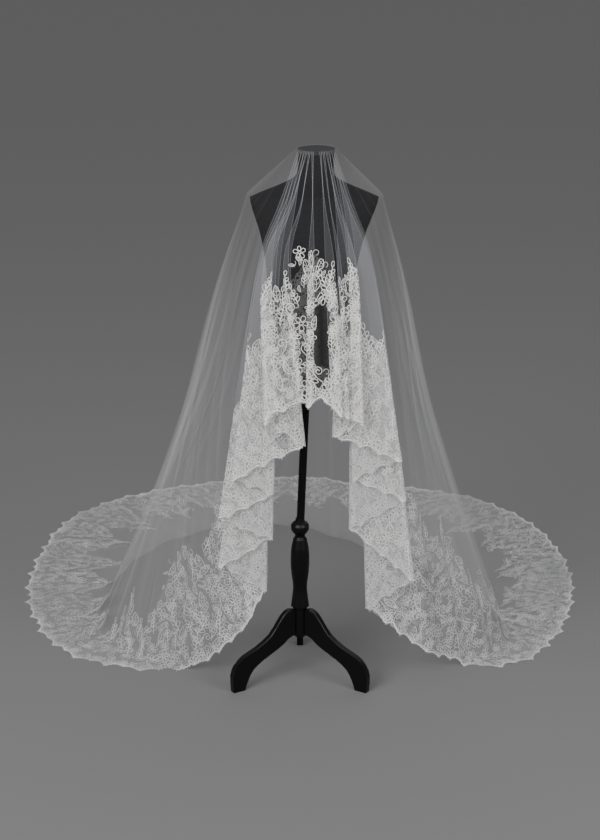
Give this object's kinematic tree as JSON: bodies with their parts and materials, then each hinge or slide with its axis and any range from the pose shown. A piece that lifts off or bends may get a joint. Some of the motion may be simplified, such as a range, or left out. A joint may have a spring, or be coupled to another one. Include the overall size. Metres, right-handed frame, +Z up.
{
  "type": "bridal veil on a dress form and stand",
  "caption": "Long tulle bridal veil with a floral corded lace border, draped over a limbless dress form on a turned stand, its front fall in tiers and its train on the floor.",
  "frame": {"origin": "centre of the floor plan, on the floor", "axes": "+Z up, -Y towards the open front of the veil, +X to its right as seen from the front"},
  "size_m": [1.8078, 1.8203, 1.5585],
  "materials": {
    "tulle": "sheer soft white tulle net",
    "lace": "matt ivory floral lace, corded, on net",
    "form_jersey": "matt black jersey",
    "cap_cover": "black cloth cover on the neck cap",
    "stand_lacquer": "satin black lacquer",
    "pole_enamel": "black enamel"
  },
  "bodies": {
    "root": {"form_torso": "form_jersey", "neck_cap": "cap_cover", "pole": "pole_enamel", "collar": "stand_lacquer", "column": "stand_lacquer", "hub": "stand_lacquer", "leg_left": "stand_lacquer", "leg_right": "stand_lacquer", "leg_back": "stand_lacquer", "veil_crown": "tulle", "veil_front": "tulle", "veil_cascade_left": "tulle", "veil_cascade_right": "tulle", "veil_side_left": "tulle", "veil_side_right": "tulle", "veil_back": "tulle", "train_left": "tulle", "train_back": "tulle", "train_right": "tulle", "lace_front": "lace", "lace_cascade_left": "lace", "lace_cascade_right": "lace", "lace_side_left": "lace", "lace_side_right": "lace", "lace_train_left": "lace", "lace_train_back": "lace", "lace_train_right": "lace"}
  },
  "joints": []
}
